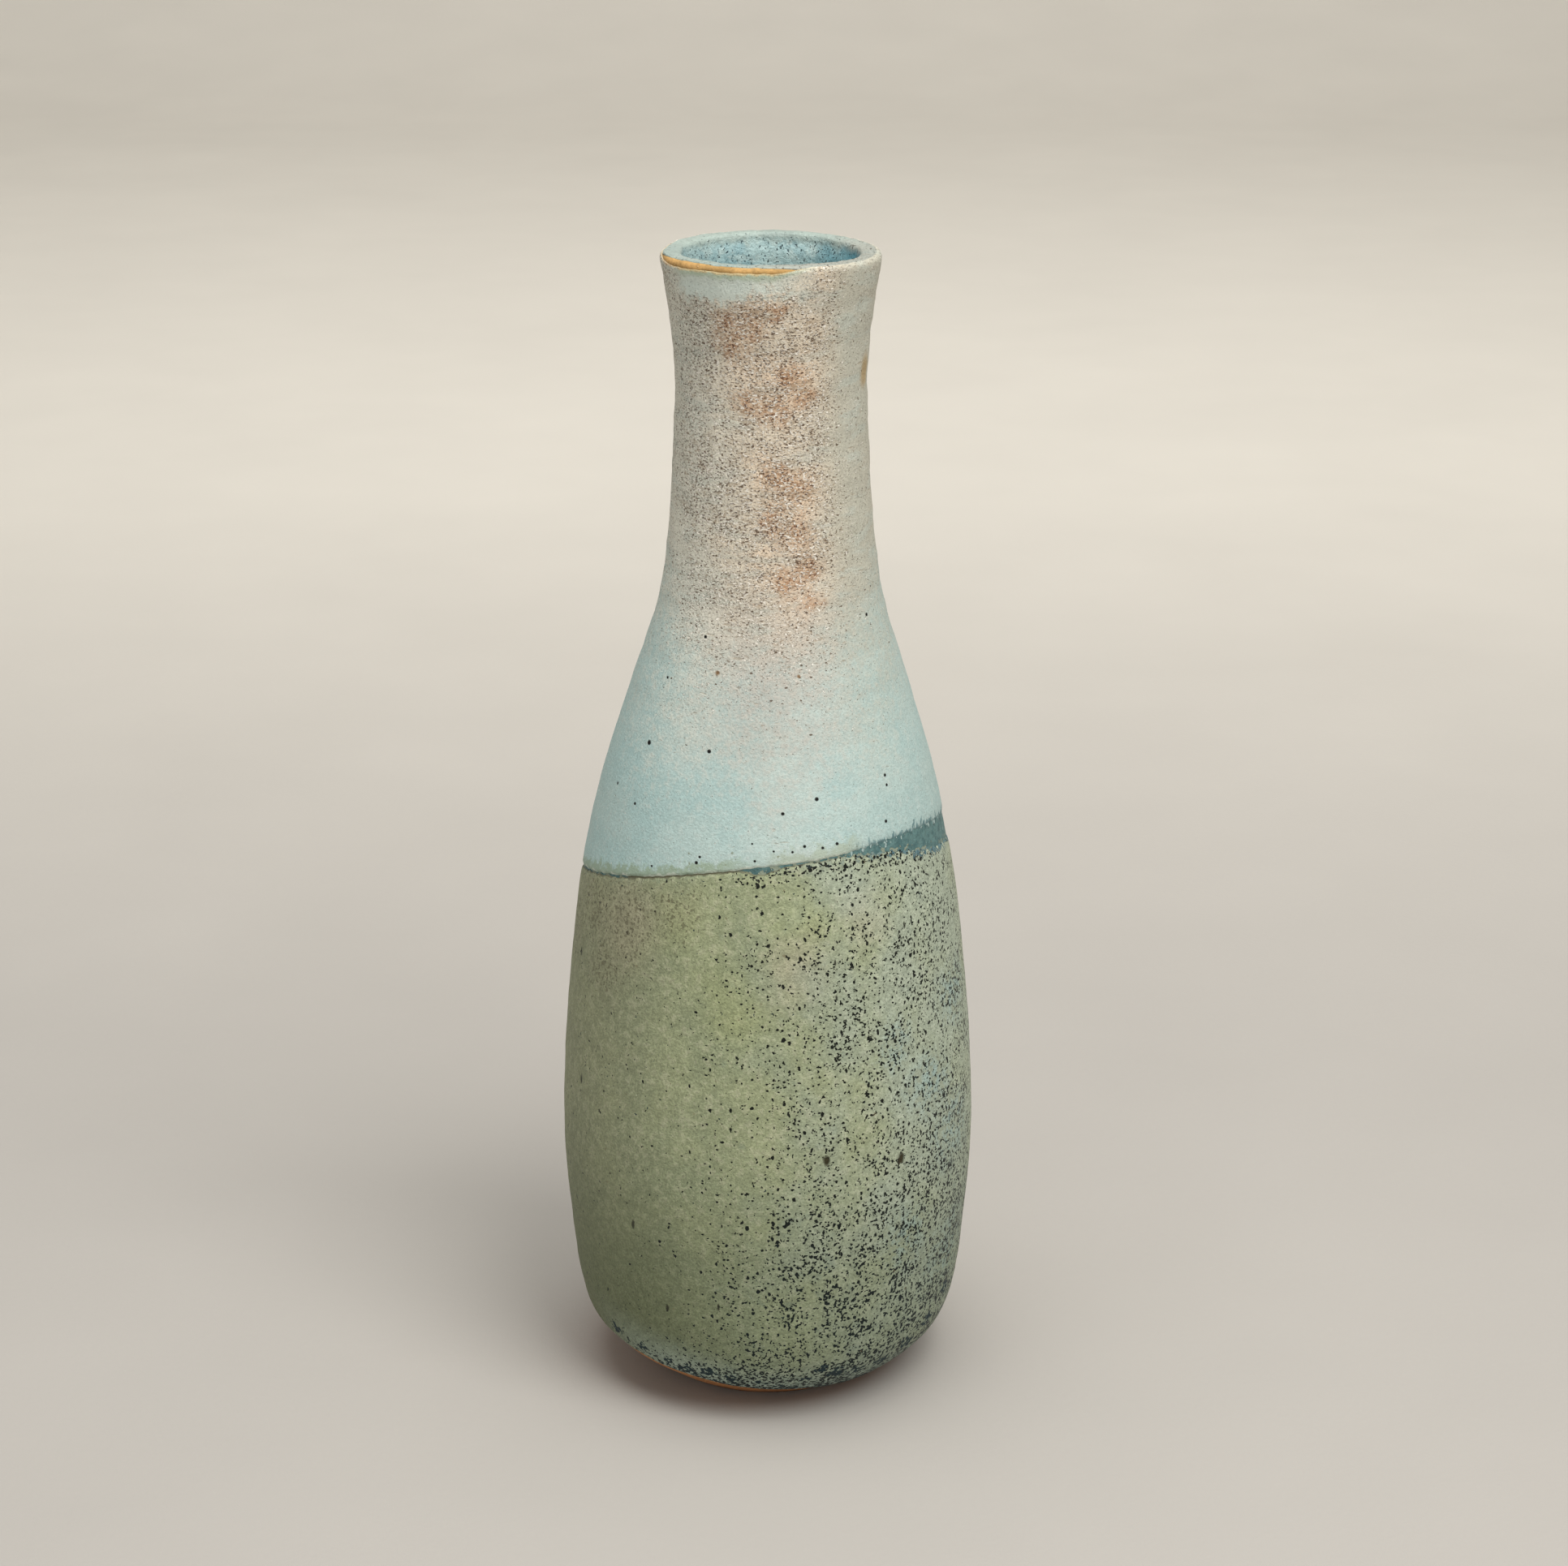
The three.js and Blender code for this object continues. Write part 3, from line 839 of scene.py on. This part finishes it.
def sage_piece():
    s = band_rows(foot_low, sage_high)
    from_low, from_high = s - foot_low, sage_high - s
    depth = 0.04 + rounded(from_high, SLATE_DEPTH + 0.06, 1.1) + rounded(from_low, SLATE_DEPTH + 0.06, 0.9)
    distances = {"from_low": from_low, "from_high": from_high}
    return make_piece("sage_glaze_coat", surface(phi, s, depth), sage_paint(), distances=distances)


def slate_piece():
    s = band_rows(slate_low, slate_high)
    from_low, from_high = s - slate_low, slate_high - s
    step = CLAY_DEPTH - SLATE_DEPTH + 0.08
    depth = SLATE_DEPTH + rounded(from_low, step, 0.5) + rounded(from_high, step, 0.5)
    distances = {"from_low": from_low, "from_high": from_high}
    distances |= {"from_sage": s - sage_high, "from_pale": pale_low - s}
    return make_piece("slate_glaze_undercoat", surface(phi, s, depth), slate_paint(), distances=distances)


def liner_piece():
    high = np.full(COLUMNS, SECTION.end - 1.2)
    near = [liner_low + d for d in EDGE_STEPS]
    start = near[-1]
    stop = SECTION.crest + 22
    lip_rows = [start + (stop - start) * k / 40 for k in range(1, 41)]
    deep_rows = [stop + (high - stop) * k / 110 for k in range(1, 111)]
    s = np.array(near + lip_rows + deep_rows)
    depth = LINER_DEPTH + rounded(s - liner_low, 0.3, 0.5)
    return make_piece("inside_glaze", surface(phi, s, depth), liner_paint(), closes=(-1,))


def clay_piece():
    """The whole pot in bare clay: base, outside, lip and inside, just under its coats."""
    base = smooth(FOOT_RECESS, 4)
    ring = PHI[::2][None, :]
    base_r, base_z = base[:, :1], np.maximum(base[:, 1:], 0)
    flat = np.broadcast_to(base_z, (len(base), ring.size))
    base_points = np.stack([base_r * np.sin(ring), -base_r * np.cos(ring), flat], axis=-1)
    first = SECTION.s_at_height(0.9)
    outer = np.arange(first, SECTION.lip - 1, 1.0)
    lip = np.arange(SECTION.lip - 0.9, SECTION.crest + 6, 0.2)
    inner = np.arange(SECTION.crest + 6.5, SECTION.end - 3, 2.5)
    s = np.r_[outer, lip, inner][:, None] * np.ones_like(ring)
    _, z, _, _ = SECTION.at(s)
    outside = s < SECTION.crest
    at_foot = SKIN + (CLAY_DEPTH - SKIN) * ease(z, 0, 7)
    depth = at_foot + (LIP_CLAY_DEPTH - CLAY_DEPTH) * ease(z, TOP - 9, TOP - 3)
    depth = np.where(outside, depth, LIP_CLAY_DEPTH + 0.15 * ease(TOP - z, 2, 6))
    walls = surface(ring, s, depth)
    walls[..., 2] = np.maximum(walls[..., 2], 0.12)
    points = np.concatenate([base_points, walls])
    return make_piece("stoneware_pot", points, clay_paint(), closes=(0, -1))


for piece, node, slot in (
    (clay_piece(), "stoneware_body", "stoneware"),
    (liner_piece(), "liner_glaze", "liner_glaze"),
    (slate_piece(), "slate_undercoat", "slate_glaze"),
    (sage_piece(), "sage_coat", "sage_glaze"),
    (pale_piece(), "pale_coat", "pale_glaze"),
):
    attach(piece, "root")
    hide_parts(node)


# ---------------------------------------------------------------- stage, camera and light

def stage_paint():
    g = Paint("studio_floor")
    soft = g.noise(60, 2.0, seed=5)
    fine = g.noise(1.2, 3.0, seed=6)
    behind = g.ease(g.split(g.p)[1], 60, 700)
    colour = g.mix(behind, "aeaaa4", "dcd7cd")
    return g.finish(g.shade(colour, soft, 0.04), 0.85, fine, 0.05, specular=0.2)


def stage_sweep():
    """A floor that curves up into a backdrop."""
    width, front, back, bend, rise = 6.0, -2.6, 1.5, 0.7, 3.2
    turn = np.radians(np.linspace(0, 90, 25))
    flat = np.linspace(-0.6, back, 12)
    ys = np.r_[front, flat, back + bend * np.sin(turn[1:]), back + bend]
    zs = np.r_[0, np.zeros(len(flat)), bend * (1 - np.cos(turn[1:])), rise]
    verts = [(x, y, z) for y, z in zip(ys, zs) for x in (-width / 2, width / 2)]
    faces = [(2 * i, 2 * i + 1, 2 * i + 3, 2 * i + 2) for i in range(len(ys) - 1)]
    mesh = bpy.data.meshes.new("studio_floor")
    mesh.from_pydata(verts, [], faces)
    mesh.shade_smooth()
    mesh.materials.append(stage_paint())
    floor = bpy.data.objects.new("studio_floor", mesh)
    bpy.context.scene.collection.objects.link(floor)


stage_sweep()

CAMERA_BACK = 596.2  # in front of the vase's axis
CAMERA_UP = 306.6
CAMERA_ASIDE = 2.8
CAMERA_DOWN = 18.5  # degrees below level
SENSOR = 36.0
FOCAL = 83.85

camera_data = bpy.data.cameras.new("camera")
camera_data.sensor_width = SENSOR
camera_data.lens = FOCAL
camera_data.dof.use_dof = False
camera_data.clip_start, camera_data.clip_end = 0.01, 50
camera = bpy.data.objects.new("camera", camera_data)
camera.location = (CAMERA_ASIDE * MM, -CAMERA_BACK * MM, CAMERA_UP * MM)
camera.rotation_euler = (math.radians(90 - CAMERA_DOWN), 0, 0)
bpy.context.scene.collection.objects.link(camera)
bpy.context.scene.camera = camera


def soft_light(name, at, size, power, colour, target=(0, 0, 0.1)):
    data = bpy.data.lights.new(name, "AREA")
    data.shape = "DISK"
    data.size = size
    data.energy = power
    data.color = colour
    light = bpy.data.objects.new(name, data)
    light.location = at
    aim = Vector(target) - Vector(at)
    light.rotation_euler = aim.to_track_quat("-Z", "Y").to_euler()
    bpy.context.scene.collection.objects.link(light)


soft_light("key", (0.55, -0.72, 1.3), 0.9, 15.5, (1.0, 0.985, 0.96))
soft_light("top", (0.0, -0.1, 1.3), 1.0, 10, (1.0, 0.99, 0.97))
soft_light("fill", (0.0, -1.3, 0.3), 1.0, 1.9, (1.0, 0.99, 0.97), target=(0, 0, 0.05))
soft_light("backdrop", (0.0, 0.8, 1.0), 1.2, 4.4, (1.0, 0.99, 0.97), target=(0, 2.2, 0.5))

world = bpy.data.worlds.new("studio")
world.use_nodes = True
sky = world.node_tree.nodes["Background"]
sky.inputs["Color"].default_value = (1.0, 0.985, 0.96, 1)
sky.inputs["Strength"].default_value = 0.4
bpy.context.scene.world = world
bpy.context.scene.view_settings.view_transform = "Standard"
